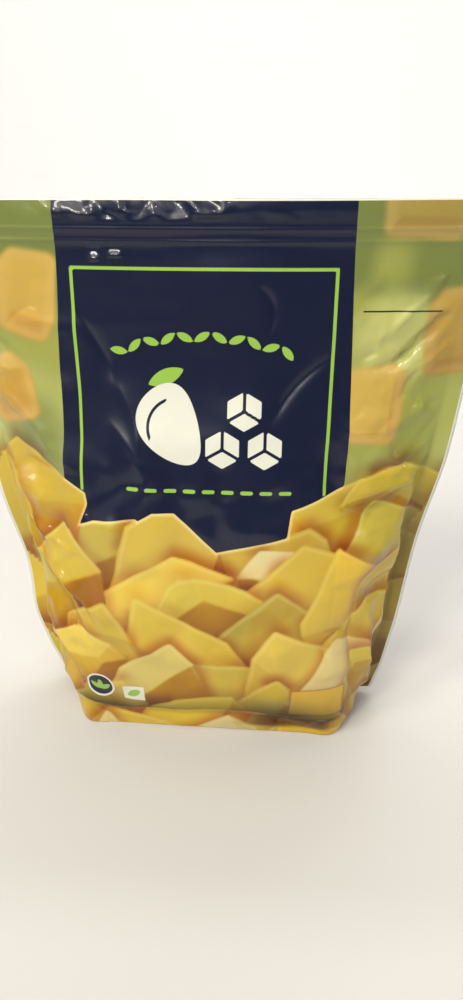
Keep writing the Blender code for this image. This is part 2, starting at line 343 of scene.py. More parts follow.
def fold(places, start, end, depth, width, bend=0.0):
    """How deep a fold goes: its crest is tight, and it bends by a share of its length and fades at both ends.

    Here, in pinch, dimple and weld_puckers, and in their tables, lengths are in millimetres.
    """
    start, end = np.array(start), np.array(end)
    run = end - start
    aside = np.array([-run[1], run[0]]) * bend
    shares = np.linspace(0, 1, 2 if bend == 0 else 7)
    knots = start + run * shares[:, None] + aside * (4 * shares * (1 - shares))[:, None]
    best, place = np.full(places.shape[:-1], np.inf), np.zeros(places.shape[:-1])
    for k, (a, b) in enumerate(itertools.pairwise(knots)):
        along = np.clip((places - a) @ (b - a) / ((b - a) @ (b - a)), 0, 1)
        distance = np.linalg.norm(places - a - along[..., None] * (b - a), axis=-1)
        closer = distance < best
        best = np.where(closer, distance, best)
        place = np.where(closer, (k + along) / (len(knots) - 1), place)
    fade = 1 - 0.85 * np.abs(2 * place - 1) ** 2.5
    return depth * fade * np.exp((FOLD_CREST - np.hypot(best, FOLD_CREST)) / (0.62 * width))


# start, end, depth (outwards where negative), width, bend
FRONT_FOLDS = (
    ((-104, 108), (-46, 66), -5, 8.5, 0.07),
    ((-98, 90), (-56, 52), 3.4, 6.5, 0.08),
    ((-100, 126), (-60, 102), -3, 6, -0.1),
    ((-98, 70), (-62, 30), -4, 7, 0.12),
    ((-92, 50), (-68, 18), 2.4, 5, 0.1),
    ((-94, 118), (-78, 96), 1.6, 2.6, -0.12),
    ((-84, 112), (-70, 86), -1.8, 3, 0.1),
    ((-78, 92), (-52, 60), 1.8, 2.6, 0.06),
    ((-90, 100), (-80, 80), -1.6, 2.4, 0.12),
    ((-89, 78), (-84, 14), -3.4, 5.2, 0.05),
    ((-64, 62), (-20, 44), -2, 7, 0.15),
    ((-104, 182), (-68, 140), -3.4, 8.5, 0.08),
    ((-104, 206), (-76, 172), 2.2, 7, 0.08),
    ((-90, 200), (-73, 213), 1, 2.2, 0.12),
    ((73, 88), (80, 10), 2.4, 4.5, -0.05),
    ((81, 78), (89, 18), -3.2, 4.5, -0.04),
    ((92, 112), (90, 48), -3.2, 5.5, 0.05),
    ((58, 164), (100, 128), -2.8, 7, 0.08),
    ((66, 146), (102, 150), 2.2, 5.5, -0.1),
    ((106, 208), (86, 186), -1.8, 3, 0.1),
    ((100, 223), (76, 203), -1.4, 3, -0.08),
    ((84, 196), (67, 189), 1.1, 1.8, 0.14),
    ((93, 190), (84, 174), 1.2, 2, -0.12),
    ((89, 170), (101, 165), -1.4, 2.2, 0.15),
    ((56, 65.5), (71, 60), 1.2, 1.6, 0.15),
    ((52, 58), (59, 49), 1, 1.4, 0.1),
    ((20, 98), (46, 80), -1.2, 6, 0.12),
    ((-56, 212), (-40, 182), 1, 2.4, 0.05),
    ((-40, 182), (-30, 150), -0.8, 4, 0.1),
    ((52, 194), (28, 166), 1.1, 2.6, -0.08),
    ((-44, 166), (-26, 132), -1, 5, 0.1),
    ((22, 222), (26, 204), 0.8, 1.8, 0.2),
    ((30, 11), (68, 3.5), 2, 2.6, -0.1),
    ((50, 4), (62, 11), -1.4, 2, 0.1),
    ((-66, 10), (-54, 2), 1.6, 2, 0.1),
    ((-58, 9), (-48, 3), -1, 1.8, 0.1),
)
BACK_FOLDS = (
    ((-94, 88), (-56, 50), -2.2, 5),
    ((96, 94), (58, 54), -2.4, 5.2),
    ((90, 78), (85, 22), -2, 4.5),
    ((-102, 170), (-62, 140), 1.5, 5.5),
    ((100, 182), (72, 136), -1.7, 6),
    ((-12, 190), (10, 140), 0.9, 6),
    ((-54, 14), (50, 15), -1.5, 4),
)


def pinch(places, start, end, depth, lit_width):
    """How deep a sharp groove goes. Its flat side, left of the way from start to end, catches the light."""
    start, end = np.array(start), np.array(end)
    length = np.linalg.norm(end - start)
    run = (end - start) / length
    along = (places - start) @ run / length
    aside = (places - start) @ np.array([-run[1], run[0]])
    width = lit_width * (0.35 + 0.65 * np.sin(math.pi * np.clip(along * 0.85 + 0.12, 0, 1)))
    profile = np.where(aside > 0, 1 - aside / width, np.exp(aside / (0.45 * width)))
    profile = np.maximum(profile, 0) - 0.22 * bell(aside, -0.9 * width, 0.6 * width)
    return depth * width / lit_width * profile * ramp(along, -0.08, 0.12) * (1 - ramp(along, 0.88, 1.08))


# start, end, depth, width of the lit side
FRONT_PINCHES = (
    ((79, 188), (102.5, 213.5), 3.4, 5),
    ((93.5, 207.8), (100.5, 211.8), 2.2, 3),
    ((87.5, 200.2), (95.5, 204.8), 2.4, 3.2),
    ((81.5, 193), (87.5, 196.4), 1.8, 2.6),
    ((64, 193), (74, 196), 0.7, 1.4),
    ((56, 59), (69, 66), 1.2, 2),
    ((-96, 98), (-86, 102), 1, 1.8),
)

# centre, half size and slopes across and up of small flat dimples that mirror a lamp
FRONT_DIMPLES = (
    ((-45.8, 234.5), (1.3, 2), (-0.056, -0.318)),
    ((-37.2, 235.6), (2.1, 1.5), (0.009, -0.364)),
)


def dimple(places, at, halves, slopes):
    """How far a small flat tilted patch of film stands out."""
    offset = places - np.array(at)
    inside = (1 - ramp(np.abs(offset) - halves, 0.0, 1.2)).prod(axis=-1)
    return offset @ np.array(slopes) * inside


RIM_SAG_DEPTH = 0.0026
RIM_SAG_UP, RIM_SAG_ROUND = 0.0156, 0.0007


def rim_sag(across, up):
    """How far the film sags over the rim, from 0 to 1: most along a wavering line, with a step below it."""
    line = RIM_SAG_UP - 0.0035 * ramp(across, 0.02, 0.06)
    line = line + 0.0012 * np.sin(across / 0.0165 + 0.9) + 0.0006 * np.sin(across / 0.0061)
    away = up - line
    width = np.where(away > 0, 0.0055 + 0.002 * ramp(across, -0.02, 0.05), 0.0012)
    sag = np.exp((RIM_SAG_ROUND - np.hypot(away, RIM_SAG_ROUND)) / width)
    return sag * (1 - ramp(np.abs(across), 0.06, 0.078))


WELD_INNER = 103.5  # where a side weld begins, across the film


def weld_puckers(places, seed):
    """Short wrinkles that run in from the side welds."""
    random = np.random.default_rng(seed)
    out = np.zeros(places.shape[:-1])
    for side in (-1, 1):
        up = 20.0
        while up < 215.0:
            reach, slant = random.uniform(8.0, 24.0), random.uniform(-12.0, 4.0)
            start = (side * WELD_INNER, up)
            end = (side * (WELD_INNER - reach), up + slant)
            depth = random.choice([-1, 1]) * random.uniform(0.3, 0.9)
            out += fold(places, start, end, depth, random.uniform(1.6, 3.4))
            up += random.uniform(6.0, 13.0)
    return out


ZIP_RIDGE, ZIP_RIDGE_ASIDE, ZIP_RIDGE_WIDTH = 0.00045, 0.0023, 0.0008
CRINKLE, CRINKLES_AT, CRINKLES_REACH = 0.00105, -0.026, 0.036


def zip_ridges(up):
    """The two ridges that the zip raises across the film."""
    ridges = [ZIP_UP + side * ZIP_RIDGE_ASIDE for side in (1, -1)]
    return ZIP_RIDGE * sum(bell(up, ridge, ZIP_RIDGE_WIDTH) for ridge in ridges)


def crinkles(across, up, seed):
    """Small sharp creases of the band above the zip, most of them left of the middle."""
    leaning = across + 0.4 * (up - 0.25)
    creased = sampled(facets(seed, 0.007), leaning, up * 0.9)
    creased += 0.35 * sampled(facets(seed + 1, 0.004), leaning, up)
    where = np.exp(-(np.abs((across - CRINKLES_AT) / CRINKLES_REACH) ** 3)) + 0.1
    return CRINKLE * np.clip(creased, -1.8, 1.8) * where * ramp(up, 0.247, 0.25)


def normals_of(points, side):
    """The way out of a panel at its points."""
    out = side * np.cross(np.gradient(points, axis=0), np.gradient(points, axis=1))
    return out / np.linalg.norm(out, axis=-1, keepdims=True)


def press_in_relief(points, places, folds, seed, side):
    """Moves a panel's points along their normals, outwards where push is positive."""
    across, up = places[..., 0], places[..., 1]
    edge = HALF_PANEL - np.abs(across)
    below_top = FILM_TOP - up
    # the fruit, and the film's facets over it and above it
    filled = (1 - ramp(up, 0.132, 0.176)) * ramp(up, 0.01, 0.026)
    flank = ramp(np.abs(across), 0.045, 0.085)
    push = sampled(fruit_relief(seed), across, up) * filled
    push += (0.0008 + 0.001 * flank) * filled * sampled(blurred(facets(seed + 9, 0.019), 1), across, up)
    push += 0.001 * (1 - filled) * sampled(blurred(facets(seed + 10, 0.034), 2), across, up)
    # finer facets on the flanks, lower at the upper left
    crumpled = ramp(np.abs(across), 0.05, 0.074) * (1 - ramp(up, 0.226, 0.236))
    crumpled *= 1 - 0.6 * ramp(-across, 0.0, 0.01) * ramp(up, 0.135, 0.16)
    push += 0.00075 * crumpled * sampled(facets(seed + 12, 0.01), across + 0.5 * up, up)
    push += 0.00035 * crumpled * sampled(facets(seed + 13, 0.0055), across - 0.4 * up, up)
    fine = places / MM
    push -= MM * sum(fold(fine, *values) for values in folds)
    if side < 0:
        push -= MM * sum(pinch(fine, *values) for values in FRONT_PINCHES)
    push += RIM_SAG_DEPTH * rim_sag(across, up) * ramp(up, 0.003, 0.008)
    # waves of the slack film
    slack = 0.45 + 0.55 * ramp(up, 0.12, 0.17)
    push += slack * 0.0013 * noise(across, up * 0.7, 0.036, seed + 3)
    push += slack * 0.0004 * noise(across, up, 0.015, seed + 4)
    # all of it fades towards the edges, which have relief of their own
    push *= ramp(edge, 0.009, 0.022) * ramp(up, 0.0, 0.006) * ramp(below_top, 0.006, 0.03)
    push += MM * weld_puckers(fine, seed + 5) * ramp(edge, 0.0075, 0.0105) * ramp(below_top, 0.01, 0.04)
    push += zip_ridges(up) * ramp(edge, 0.001, 0.008) + crinkles(across, up, seed + 6)
    if side < 0:
        push += MM * sum(dimple(fine, *values) for values in FRONT_DIMPLES)
    pressed = points + normals_of(points, side) * push[..., None]
    pressed[..., 1] = side * np.maximum(side * pressed[..., 1], FILM_GAP / 2)
    return pressed


# ---- the print, and painted shade on it


def srgb(red, green, blue):
    """A colour from 0-255 values."""
    return np.array([red, green, blue]) / 255


def linear(colour):
    """sRGB to linear light."""
    colour = np.clip(colour, 0, 1)
    return np.where(colour <= 0.04045, colour / 12.92, ((colour + 0.055) / 1.055) ** 2.4)


def mix(a, b, share):
    """From colour a to colour b by a share for each point."""
    return a + (b - a) * np.asarray(share)[..., None]


def polygon_distance(points, corners):
    """Signed distance to a closed polygon, negative inside."""
    best = np.full(len(points), np.inf)
    inside = np.zeros(len(points), bool)
    for a, b in zip(corners, np.roll(corners, -1, axis=0)):
        run, to = b - a, points - a
        t = np.clip(to @ run / max(run @ run, 1e-18), 0, 1)
        best = np.minimum(best, np.linalg.norm(to - t[:, None] * run, axis=1))
        crosses = (a[1] > points[:, 1]) != (b[1] > points[:, 1])
        rise = b[1] - a[1] if b[1] != a[1] else 1e-18
        inside ^= crosses & (points[:, 0] < (b[0] - a[0]) * (points[:, 1] - a[1]) / rise + a[0])
    return np.where(inside, -best, best)


PRINT_LIGHT = np.array([-0.38, 0.72, 0.58])
PRINT_LIGHT /= np.linalg.norm(PRINT_LIGHT)
DIE_ROUND = 0.0013  # the radius of a die's outer corners


def turned_about(axis, angle):
    """A rotation about x, y or z (0, 1 or 2)."""
    return np.array(Matrix.Rotation(angle, 3, "XYZ"[axis]))


class Piece:
    """One printed die of fruit: a skewed block with cut corners, seen straight on."""

    def __init__(self, random, at, halves, tilt_limit=0.9, turns=(0.0, math.pi), cuts=3, skew=0.26):
        turn = turned_about(2, random.uniform(*turns))
        sway = turned_about(1, random.uniform(-0.5, 0.5))
        lean = turned_about(0, random.uniform(0.3, tilt_limit) * random.choice([-1, 1], p=[0.75, 0.25]))
        sides = np.concatenate([np.eye(3), -np.eye(3)]) + random.uniform(-skew, skew, (6, 3))
        bevels = random.choice([-1, 1], (cuts, 3)) * random.uniform(0.15, 1.0, (cuts, 3))
        side_reach = random.uniform(0.85, 1.1, 6)
        cut_reach = np.abs(bevels).sum(axis=1) * random.uniform(0.62, 0.8, cuts)
        reach = np.concatenate([side_reach, cut_reach])
        normals = np.concatenate([sides, bevels]) / halves
        size = np.linalg.norm(normals, axis=1)
        self.normals, self.reach = normals / size[:, None] @ (lean @ sway @ turn).T, reach / size
        corners = []
        for three in itertools.combinations(range(len(self.normals)), 3):
            planes = self.normals[list(three)]
            if abs(np.linalg.det(planes)) > 0.02:
                corner = np.linalg.solve(planes, self.reach[list(three)])
                if (self.normals @ corner < self.reach + 1e-9).all():
                    corners.append(corner)
        self.at = np.array(at)
        flat = np.array(corners)[:, :2] + self.at
        self.outline = flat[convex_hull_2d(flat.tolist())]
        self.size = np.ptp(self.outline, axis=0).mean() / 2
        seen = self.normals[:, 2] > 0.04
        self.normals, self.reach = self.normals[seen], self.reach[seen]
        self.round = DIE_ROUND
        middle = self.outline.mean(axis=0)
        away = np.linalg.norm(self.outline - middle, axis=1, keepdims=True)
        self.inner = middle + (self.outline - middle) * (1 - self.round * 1.3 / away)
        self.paleness = random.uniform(0, 0.3) if random.random() > 0.08 else random.uniform(0.75, 1.0)
        self.warmth = random.uniform(0.1, 0.5) if random.random() > 0.25 else random.uniform(0.6, 0.9)
        self.grain = random.uniform(0, math.pi)
        self.cast = random.uniform(0.6, 1.0)
        brightness = random.uniform(0.86, 0.98)
        self.tone = brightness * np.array([1.0, random.uniform(0.975, 1.02), random.uniform(0.9, 1.1)])
        self.green = random.uniform(0, 1, len(self.reach))
        self.seed = int(random.integers(1, 1000))

    def near(self, points, margin):
        """Which points lie within a margin of the die's box."""
        low, high = self.outline.min(axis=0) - margin, self.outline.max(axis=0) + margin
        return np.flatnonzero(((points > low) & (points < high)).all(axis=1))

    def distance(self, points):
        """Signed distance to the die's outline, whose edges waver a little."""
        waver = 0.00035 * noise(points[..., 0], points[..., 1], 0.009, self.seed + 3)
        return polygon_distance(points, self.inner) - self.round + waver


# the fruit's colours, then those of the other fields, and FOLD_SHADOW, the tint of painted shadow on the rim
SHADE = srgb(166, 110, 18)
BODY = srgb(206, 158, 26)
LIGHT = srgb(230, 195, 54)
GREENISH = srgb(206, 184, 62)
PALE = srgb(234, 212, 142)
BLUSH = srgb(204, 104, 40)
GAP = srgb(150, 84, 22)
HAZE = srgb(208, 168, 86)
SHADOW, FOLD_SHADOW = np.array([0.78, 0.5, 0.3]), np.array([0.5, 0.4, 0.34])
LIME, LEAF_GREEN = srgb(156, 160, 78), srgb(112, 124, 64)
GLOW, PALE_LIME = srgb(190, 196, 122), srgb(202, 202, 126)
FADED, HEAP_EDGE = srgb(204, 172, 70), srgb(242, 230, 184)
LABEL, LABEL_EDGE = srgb(226, 184, 60), srgb(168, 118, 40)
GUSSET = srgb(170, 172, 82)
UPWARD = np.array([-0.3, 0.95])  # the way the printed light comes from, across and up
FACE_BLEND = 0.0009  # how softly one face of a die goes over into the next


def face_colours(piece, points):
    """The colours of a die's faces: light where they look up, and deeper towards the die's foot."""
    at = points - piece.at
    heights = (piece.reach - at @ piece.normals[:, :2].T) / piece.normals[:, 2]
    over = heights - heights.min(axis=1, keepdims=True)
    weights = np.exp(-over / FACE_BLEND)
    weights /= weights.sum(axis=1, keepdims=True)
    clouds = noise(*points.T, 0.01, piece.seed + 2)
    fibre = np.array([math.cos(piece.grain), math.sin(piece.grain)])
    streaks = noise(at @ fibre * 0.3 + piece.at[0], at @ np.array([-fibre[1], fibre[0]]), 0.0024, piece.seed)
    rise = np.clip(at @ UPWARD / piece.size, -1.2, 1.2)
    lit = weights @ (0.5 + 0.5 * piece.normals @ PRINT_LIGHT) + 0.21 * rise + 0.02 * streaks + 0.06 * clouds
    colour = mix(SHADE, BODY, ramp(lit, 0.25, 0.68))
    colour = mix(colour, LIGHT, ramp(lit, 0.62, 1.02))
    colour = mix(colour, GREENISH, 0.85 * (weights @ piece.green) * ramp(lit, 0.45, 0.75))
    colour = mix(colour, PALE, piece.paleness * ramp(lit, 0.4, 0.95))
    if len(piece.reach) > 1:
        second = np.sort(over, axis=1)[:, 1]
        colour = mix(colour, np.clip(colour * 1.05 + 0.03, 0, 1), 0.25 * bell(second, 0, FACE_BLEND))
    return colour * piece.tone


def paint_piece(canvas, points, piece, blur=0.0005, shadow=1.0, grow=None, haze=0.0):
    """Paints one die over the canvas, after its shadow on what lies behind it. Haze evens out its colours."""
    near = piece.near(points, 0.015)
    if not len(near):
        return
    spot = points[near]
    d = piece.distance(spot)
    patchy = noise(*spot.T, 0.015, piece.seed + 5)
    cast = piece.distance(spot - [0.0004, 0.0028])
    shade = (0.22 + 0.78 * ramp(patchy, -0.4, 0.4)) * (1 - ramp(cast, -0.003, 0.008)) ** 1.3
    shade = np.maximum(shade, 0.3 * np.exp(-np.abs(d) / 0.0009))
    shade = shadow * piece.cast * shade * (d > -0.001)
    dark = canvas[near] * mix(np.ones(3), SHADOW, shade)
    colour = face_colours(piece, spot)
    upward = ramp((spot - piece.at) @ UPWARD, -0.006, 0.012)
    warm = 0.8 * piece.warmth * ramp(-patchy, -0.25, 0.5)
    colour = mix(colour, BLUSH, warm * ramp(d, -0.0095, 0.0005) * (1 - upward))
    if haze:
        colour = mix(colour, PALE, 0.55 * bell(d, -0.0022, 0.0024))
    else:
        colour = mix(colour, PALE, 0.32 * bell(d, -0.0006, 0.0008) * upward)
    colour = colour + (HAZE * piece.tone - colour) * haze
    cover = 1 - ramp(d - (0 if grow is None else grow[near]), -blur, blur)
    canvas[near] = mix(dark, colour, cover)


HEAP_PITCH = (0.0385, 0.024)  # across and up
HEAP_MIDDLE, HEAP_UP, HEAP_RISE = -0.003, 0.1125, 0.024


def heap_line(across):
    """The height that the top row of printed dice reaches: it dips in the middle."""
    share = np.minimum(np.abs((across - HEAP_MIDDLE) / 0.064), 1.04)
    return HEAP_UP + HEAP_RISE * share**3 - 0.005 * ramp(-across, 0.045, 0.065)


def heap_pieces(seed):
    """The printed heap's dice, from the back row, whose tops lie nearly level, to the front one."""
    random = np.random.default_rng(seed)
    rows = []
    for row in range(7):
        columns = []
        for column in range(-4, 5):
            across = (column + 0.5 * (row % 2) - 0.25) * HEAP_PITCH[0] + random.uniform(-0.0055, 0.0055)
            up = float(heap_line(across)) - 0.0145 - row * HEAP_PITCH[1] + random.uniform(-0.005, 0.005)
            halves = random.uniform((0.02, 0.015, 0.011), (0.029, 0.021, 0.017))
            turns = (-0.85, 1.15)
            if across < -0.045 and row > 0:
                halves, turns = halves * [1.0, 0.78, 1.0], (-1.15, -0.55)
            elif row == 0:
                halves, turns = halves * [0.95, 0.82, 0.9], (-0.4, 0.4)
            columns.append(Piece(random, (across, up), halves, turns=turns))
        rows.append([columns[k] for k in random.permutation(len(columns))])
        if row == 0:
            pale = Piece(np.random.default_rng(seed), (0.033, 0.099), (0.011, 0.009, 0.008))
            pale.paleness = 1.4
            rows.append([pale])
    return [piece for row in rows for piece in row]


def towards(bearing):
    """The way that a bearing in degrees points, anticlockwise from across."""
    return np.array([math.cos(math.radians(bearing)), math.sin(math.radians(bearing))])


def lens(points, at, length, width, bearing):
    """Signed distance to a leaf along a bearing, negative inside."""
    x, y = (points - at).T
    cos, sin = towards(bearing)
    p, q = x * cos + y * sin, y * cos - x * sin
    half = width / 2
    radius = (length**2 / 4 + half**2) / (2 * half)
    return np.hypot(p, np.abs(q) + radius - half) - radius


def bar(points, start, end, half):
    """Signed distance to a round-ended bar, negative inside."""
    start, end = np.array(start), np.array(end)
    run = end - start
    t = np.clip((points - start) @ run / max(run @ run, 1e-18), 0, 1)
    return np.linalg.norm(points - start - t[:, None] * run, axis=1) - half


def mango_outline(length, bearing):
    """A mango's outline about the origin, with its narrow end towards the bearing."""
    angle = np.linspace(0, 2 * math.pi, 96, endpoint=False)
    x = 0.5 * np.cos(angle) + 0.03 * np.cos(2 * angle)
    y = 0.355 * np.sin(angle) * (1 - 0.13 * np.cos(angle)) + 0.085 * np.cos(angle) ** 2
    cos, sin = towards(bearing)
    return length * np.column_stack([x * cos - y * sin, x * sin + y * cos])


FIELD_TOP_LEFT, FIELD_TOP_RIGHT = -0.0616, 0.0588
FRAME = np.array([(-0.056, 0.129), (-0.056, 0.229), (0.0526, 0.229), (0.0526, 0.129)])
FRAME_HALF = 0.0007
MOTIF = np.array([0.0006, 0.1645])
FIELD_MIDDLE = -0.0018
ARC_CENTRE, ARC_RADIUS, ARC_LEAVES = np.array([FIELD_MIDDLE, 0.1]), 0.102, 11
DASHES, DASH_START, DASH_PITCH, DASH_LENGTH, DASH_UP = 9, -0.0345, 0.00845, 0.004, 0.136
GLEAM_RADIUS, GLEAM_HALF = 0.0125, 0.00065
CUBES, CUBE_EDGE = ((-0.0092, -0.0082), (0.0092, -0.0082), (0.0, 0.0082)), 0.0092
BACK_SPRIG = np.array([FIELD_MIDDLE, 0.205])
BACK_PANEL, BACK_PANEL_HALVES = np.array([FIELD_MIDDLE, 0.174]), np.array([0.039, 0.019])


def field_edges(up):
    """The two sides of the dark field, which spreads a little on the way down."""
    spread = ramp(0.253 - up, 0.0, 0.105)
    return FIELD_TOP_LEFT - 0.0034 * spread, FIELD_TOP_RIGHT + 0.003 * spread


def draw_frame(points):
    """Signed distance to the frame on the dark field, which is open at the foot."""
    lime = np.full(len(points), np.inf)
    for start, end in itertools.pairwise(FRAME):
        middle, half = (start + end) / 2, np.abs(end - start) / 2 + FRAME_HALF
        lime = np.minimum(lime, (np.abs(points - middle) - half).max(axis=1))
    return lime


def draw_plain_panel(points):
    """The back's marks: the frame, a sprig of leaves and a blank ruled cream panel."""
    lime = draw_frame(points)
    for bearing in (20, 55, 90, 125, 160):
        at = BACK_SPRIG + 0.0058 * towards(bearing)
        lime = np.minimum(lime, lens(points, at, 0.0105, 0.0042, bearing))
    cream = (np.abs(points - BACK_PANEL) - BACK_PANEL_HALVES).max(axis=1)
    for k in range(1, 6):
        up = BACK_PANEL[1] + BACK_PANEL_HALVES[1] * (1 - k / 3)
        cream = np.maximum(cream, 0.00035 - np.abs(points[:, 1] - up))
    return lime, cream


def draw_motifs(points):
    """The front's marks: the frame, an arc of leaves, a mango with cubes, and a dashed line."""
    lime = draw_frame(points)
    for k in range(ARC_LEAVES):
        bearing = 90 + 20.5 * (1 - k / 5)
        at = ARC_CENTRE + ARC_RADIUS * towards(bearing)
        lime = np.minimum(lime, lens(points, at, 0.0078, 0.0033, bearing - (60 if k % 2 else 120)))
    for k in range(DASHES):
        start = DASH_START + k * DASH_PITCH
        lime = np.minimum(lime, bar(points, (start, DASH_UP), (start + DASH_LENGTH, DASH_UP), 0.00085))
    mango, cubes = MOTIF + [-0.017, 0.0], MOTIF + [0.0158, -0.0015]
    lime = np.minimum(lime, lens(points, mango + [-0.001, 0.0205], 0.017, 0.0066, 24))
    cream = polygon_distance(points, mango_outline(0.0365, -66) + mango)
    from_gleam = points - mango - [0.0035, -0.001]
    ring = np.abs(np.hypot(*from_gleam.T) - GLEAM_RADIUS) - GLEAM_HALF
    gleam = np.maximum(ring, 0.0085 - from_gleam @ np.array([-0.92, 0.39]))
    cream = np.maximum(cream, -gleam)
    for at in CUBES:
        for turn in (30, 150, 270):
            a, b = towards(turn - 60), towards(turn + 60)
            rhomb = np.array([[0, 0], a, a + b, b]) * CUBE_EDGE
            cream = np.minimum(cream, polygon_distance(points, rhomb + cubes + at) + 0.0007)
    return lime, cream


# centre, half size and tint of each unsharp die on the lime field
FLOATING_DICE = (
    ((-0.0762, 0.218), (0.0088, 0.0136), 0.95),
    ((-0.0925, 0.1745), (0.0102, 0.0115), 0.94),
    ((-0.106, 0.249), (0.008, 0.008), 0.82),
    ((0.087, 0.259), (0.016, 0.014), (0.8, 0.86, 0.94)),
    ((0.1075, 0.2035), (0.0122, 0.016), 0.86),
    ((0.0702, 0.1728), (0.0106, 0.0146), (0.97, 0.99, 1.04)),
)
DIM_FIELD = np.array([-0.078, 0.15])
PALE_FIELD, PALE_FIELD_RADIUS = np.array([0.08, 0.201]), 0.0185
FLOATING_ROUND, FLOATING_BLUR, FLOATING_HAZE = 0.0045, 0.0016, 0.74
LABEL_AT, LABEL_HALVES = np.array([0.0555, 0.0235]), (0.0135, 0.0082)
RULE_UP = float(film_height(0.208))  # on a row of the mesh, so that the thin line stays even
RULE_START, RULE_END, RULE_HALF = 0.064, 0.096, 0.00032
EDGE_MARGIN, TOP_MARGIN = 0.0013, 0.0006  # of bare film along the sides and the top
# painted shade: how much the print is darkened in the crease along the sag above the rim
CREASE_SHADE = 0.62  # how much darker the print is along the sag above the rim
SEAL, SEAL_RADIUS, SEAL_RING = np.array([-0.0555, 0.0268]), 0.0066, 0.00055
TAG, TAG_HALVES = np.array([-0.038, 0.024]), (0.0055, 0.0044)


def draw_seals(points):
    """A round seal and a small tag at the lower left: signed distances, positive inside each ink."""
    disc = SEAL_RADIUS - np.hypot(*(points - SEAL).T)
    ring = SEAL_RING - np.abs(disc + SEAL_RING)
    sprig = np.full(len(points), -np.inf)
    for bearing in (38, 90, 142):
        at = SEAL + [0.0, -0.003] + 0.0036 * towards(bearing)
        sprig = np.maximum(sprig, -lens(points, at, 0.0066, 0.0029, bearing))
    tag = -(np.abs(points - TAG) - TAG_HALVES).max(axis=1)
    leaf = -lens(points, TAG, 0.008, 0.004, 28)
    return disc, np.maximum(sprig, leaf), np.maximum(ring, np.minimum(tag, -leaf))


def paint_flanks(points, seed, front):
    """The lime field, darker towards the top, with soft patches and unsharp floating dice."""
    across, up = points.T
    blotch = 0.6 * noise(across, up, 0.04, seed) + 0.4 * noise(across, up, 0.017, seed + 1)
    blotch *= 0.5 + 0.5 * ramp(up, 0.19, 0.215)
    blotch += 0.75 * ramp(up, 0.2, 0.228) - 0.4 * (1 - ramp(up, 0.165, 0.205))
    canvas = mix(LIME, LEAF_GREEN, 0.85 * ramp(blotch, 0.0, 0.6))
    canvas = mix(canvas, GLOW, 0.75 * ramp(-blotch, 0.0, 0.6))
    if front:
        away = np.linalg.norm(points - PALE_FIELD, axis=1) - PALE_FIELD_RADIUS
        canvas = mix(canvas, PALE_LIME, 0.7 * (1 - ramp(away, -0.006, 0.006)))
        away = np.linalg.norm((points - DIM_FIELD) * [1.0, 0.8], axis=1)
        canvas = mix(canvas, LEAF_GREEN, 0.75 * (1 - ramp(away, 0.006, 0.026)))
    random = np.random.default_rng(seed + 2)
    for at, half, tint in FLOATING_DICE:
        halves = np.array([*half, 0.006])
        piece = Piece(random, at, halves, tilt_limit=0.36, turns=(-0.12, 0.12), cuts=0, skew=0.07)
        piece.round = FLOATING_ROUND
        piece.paleness, piece.warmth, piece.tone = 0.1, 0.05, np.ones(3) * tint
        paint_piece(canvas, points, piece, blur=FLOATING_BLUR, shadow=0.06, haze=FLOATING_HAZE)
    return canvas


def paint_print_and_shade(places, seed, front):
    """The print of a panel, with painted shade along the rim and on the lower right weld: a colour for each
    point, and distances to the edges of flat inks.
    """
    points = places.reshape(-1, 2)
    across, up = points.T
    canvas = paint_flanks(points, seed, front)
    left, right = field_edges(up)
    in_field = np.minimum(across - left, right - across)
    pieces = heap_pieces(seed + 7)
    heap = np.full(len(points), np.inf)
    for piece in pieces:
        near = piece.near(points, 0.02)
        heap[near] = np.minimum(heap[near], piece.distance(points[near]))
    below = ramp(heap_line(across) - 0.016 - up, 0.0, 0.004)
    heap = np.minimum(heap, 0.004 - 0.01 * below)
    canvas = mix(canvas, GAP, below)
    grow = 0.001 * ramp(in_field, -0.0005, 0.0005)
    for piece in pieces:
        paint_piece(canvas, points, piece, grow=grow)
    if front:
        faded = ramp(-across, 0.062, 0.09) * ramp(up, 0.105, 0.135)
        canvas = mix(canvas, FADED, 0.45 * faded * (heap < 0))
        label = (np.abs(points - LABEL_AT) - LABEL_HALVES).max(axis=1)
        canvas = mix(canvas, LABEL_EDGE, 0.75 * (1 - ramp(np.abs(label - 0.0006), 0.0002, 0.0009)))
        canvas = mix(canvas, LABEL, 1 - ramp(label, -0.0003, 0.0003))
    canvas = mix(canvas, HEAP_EDGE, 0.6 * bell(heap, -0.0005, 0.0006) * (in_field > 0))
    # painted shade along the sag above the rim, less of it in the middle
    shaded = CREASE_SHADE * (0.6 + 0.4 * ramp(np.abs(across + 0.005), 0.015, 0.045))
    canvas = canvas * (1 - shaded * rim_sag(across, up))[:, None]
    if front:
        # painted shadow on the rim band at the lower right, below the label
        fold_shade = ramp(across, 0.012, 0.032) * (1 - ramp(across, 0.06, 0.068))
        fold_shade *= ramp(up, 0.002, 0.005) * (1 - ramp(up, 0.009, 0.0125))
        canvas = canvas * mix(np.ones(3), FOLD_SHADOW, fold_shade)
    # painted shade on the lower part of the right weld
    canvas = canvas * (1 - 0.3 * ramp(across, 0.098, 0.1065) * (1 - ramp(up, 0.1, 0.15)))[:, None]
    lime, cream = draw_motifs(points) if front else draw_plain_panel(points)
    navy = np.minimum(in_field, heap)
    lime = np.minimum(-lime, heap - 0.0004)
    margin = np.maximum(np.abs(across) - (HALF_PANEL - EDGE_MARGIN), up - (FILM_TOP - TOP_MARGIN))
    white = np.maximum(-cream, margin)
    if front:
        rule = -bar(points, (RULE_START, RULE_UP), (RULE_END, RULE_UP), RULE_HALF)
        for_navy, for_lime, for_white = draw_seals(points)
        navy = np.maximum(np.maximum(navy, rule), for_navy)
        lime, white = np.maximum(lime, for_lime), np.maximum(white, for_white)
    return linear(canvas), navy, lime, white


# ---- materials

